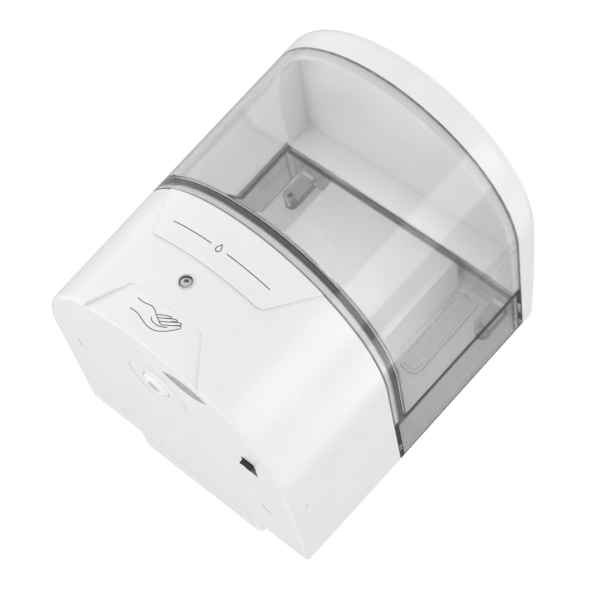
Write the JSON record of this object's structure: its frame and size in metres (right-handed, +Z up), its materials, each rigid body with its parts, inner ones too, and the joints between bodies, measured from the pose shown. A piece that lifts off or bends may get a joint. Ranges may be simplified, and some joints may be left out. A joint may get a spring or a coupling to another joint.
{
  "type": "wall mounted soap dispenser",
  "caption": "Wall mounted automatic soap dispenser: clear tank over a white pump housing, hinged lid, hand sensor, rocker switch, battery case and wall bracket.",
  "frame": {"origin": "centre of the four wall screw holes, on the bracket's rear face where it meets the wall", "axes": "+Z up, the front faces -Y, the wall is the plane y = 0 with +Y pointing into the wall, +X to the right as seen from the front"},
  "size_m": [0.1254, 0.1379, 0.1509],
  "materials": {
    "white_shell": "gloss",
    "clear_tank": "clear, lightly grey",
    "white_part": "satin",
    "led_lens": "clear",
    "dark_lens": "gloss",
    "grey_ring": "satin",
    "smoke_window": "gloss",
    "black_plastic": "satin",
    "screw_steel": "bright",
    "pin_steel": "ground",
    "cell_jacket": "gloss",
    "contact_metal": "nickel",
    "silicone": "soft",
    "pump_plastic": "moulded",
    "gear_nylon": "moulded",
    "motor_can": "plated",
    "magnet_black": "sintered",
    "rotor_iron": "varnished",
    "board_green": "solder mask"
  },
  "bodies": {
    "bracket": {"wall_bracket": "white_shell"},
    "lid": {"lid": "white_shell", "lid_seal": "silicone"},
    "rocker": {"switch_rocker": "black_plastic"},
    "drive": {"motor_shaft": "pin_steel", "motor_rotor": "rotor_iron", "drive_gear": "gear_nylon"},
    "idler": {"idler_gear": "gear_nylon"},
    "unit": {"base_shell": "white_shell", "tank": "clear_tank", "battery_case": "white_shell", "indicator_led": "led_lens", "led_bezel": "grey_ring", "sensor_window": "smoke_window", "switch_body": "black_plastic", "nozzle": "white_part", "tank_screws": "screw_steel", "screw_plugs": "white_shell", "base_back_cover": "white_shell", "cover_screws": "screw_steel", "battery_door": "white_shell", "battery_door_screw": "screw_steel", "aa_cells": "cell_jacket", "battery_contacts": "contact_metal", "case_screws": "screw_steel", "lid_hinge_pin": "pin_steel", "tank_outlet": "white_part", "outlet_nut": "white_part", "outlet_seal": "silicone", "outlet_strainer": "white_part", "inlet_tube": "silicone", "outlet_tube": "silicone", "pump_body": "pump_plastic", "pump_cover": "pump_plastic", "pump_screws": "screw_steel", "idler_pin": "pin_steel", "shaft_seal": "silicone", "pump_motor": "motor_can", "motor_magnets": "magnet_black", "nozzle_valve": "silicone", "control_board": "board_green", "board_parts": "black_plastic", "board_screws": "screw_steel", "sensor_board": "board_green", "ir_emitter": "led_lens", "ir_receiver": "dark_lens"}
  },
  "joints": [
    {"name": "unit_lift", "type": "slide", "parent": "bracket", "child": "unit", "axis": [0, 0, 1], "range_m": [0, 0.02]},
    {"name": "lid_hinge", "type": "hinge", "parent": "unit", "child": "lid", "pos_m": [0, -0.0094, 0.0801], "axis": [-1, 0, 0], "range_deg": [0, 85]},
    {"name": "power_rocker", "type": "hinge", "parent": "unit", "child": "rocker", "pos_m": [0.0434, -0.0829, -0.0558], "axis": [-1, 0, 0], "range_deg": [0, 24]},
    {"name": "drive_spin", "type": "hinge", "parent": "unit", "child": "drive", "pos_m": [0, -0.075, -0.0424], "axis": [1, 0, 0], "continuous": true},
    {"name": "idler_spin", "type": "hinge", "parent": "unit", "child": "idler", "pos_m": [0, -0.075, -0.0274], "axis": [1, 0, 0], "continuous": true}
  ],
  "couplings": [
    {"joint": "idler_spin", "follows": "drive_spin", "ratio": -1}
  ]
}
